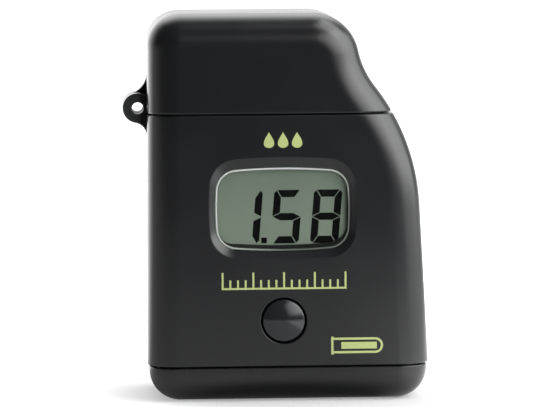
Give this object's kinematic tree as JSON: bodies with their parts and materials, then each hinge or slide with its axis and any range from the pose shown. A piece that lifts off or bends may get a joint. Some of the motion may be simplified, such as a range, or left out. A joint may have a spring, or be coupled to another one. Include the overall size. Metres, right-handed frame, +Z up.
{
  "type": "chlorine meter",
  "caption": "Handheld chlorine meter with a flip-top lid over a round cuvette well, a recessed display, one push button and a see-through hinge eye.",
  "frame": {"origin": "middle of the flat base face that the meter stands on", "axes": "+Z up, the display faces -Y, +X to the right as seen from the front"},
  "size_m": [0.0675, 0.0386, 0.086],
  "materials": {
    "case_plastic": "satin dark grey",
    "lid_plastic": "satin dark grey",
    "base_plastic": "satin dark grey",
    "pin_plastic": "smooth dark grey",
    "screw_steel": "zinc plated",
    "clear_window": "polished clear",
    "display_glass": "grey-green display",
    "contact_rubber": "soft",
    "circuit_board": "green resist",
    "chip_plastic": "moulded black",
    "button_plastic": "semi-gloss dark grey",
    "well_plastic": "matt black",
    "seal_rubber": "matt",
    "filter_glass": "tinted",
    "lamp_plastic": "clear lens",
    "cell_jacket": "printed jacket",
    "contact_metal": "nickel plated"
  },
  "bodies": {
    "housing": {"front_shell": "case_plastic", "rear_shell": "case_plastic", "base_cap": "base_plastic", "hinge_pin": "pin_plastic", "case_screws": "screw_steel", "display_window": "clear_window", "lcd_panel": "display_glass", "lcd_connectors": "contact_rubber", "main_board": "circuit_board", "control_chip": "chip_plastic", "board_screws": "screw_steel", "switch_housing": "chip_plastic", "cuvette_holder": "well_plastic", "light_seal": "seal_rubber", "well_windows": "clear_window", "optical_filter": "filter_glass", "light_source": "lamp_plastic", "emitter_board": "circuit_board", "photodetector": "chip_plastic", "detector_board": "circuit_board", "battery_cell": "cell_jacket", "battery_holder": "well_plastic", "positive_strip": "contact_metal", "negative_strip": "contact_metal"},
    "lid": {"lid": "lid_plastic"},
    "button": {"button_cap": "button_plastic", "switch_plunger": "chip_plastic"},
    "battery_door": {"battery_door": "base_plastic", "battery_spring": "contact_metal"}
  },
  "joints": [
    {"name": "lid_hinge", "type": "hinge", "parent": "housing", "child": "lid", "pos_m": [-0.03285, 0, 0.06475], "axis": [0, -1, 0], "range_deg": [0, 180]},
    {"name": "button_press", "type": "slide", "parent": "housing", "child": "button", "axis": [0, 1, 0], "range_m": [0, 0.0005], "stiffness_N_per_m": 400},
    {"name": "battery_door_turn", "type": "hinge", "parent": "housing", "child": "battery_door", "pos_m": [0.01585, 0.003, 0.002], "axis": [0, 0, -1], "range_deg": [0, 60]}
  ]
}
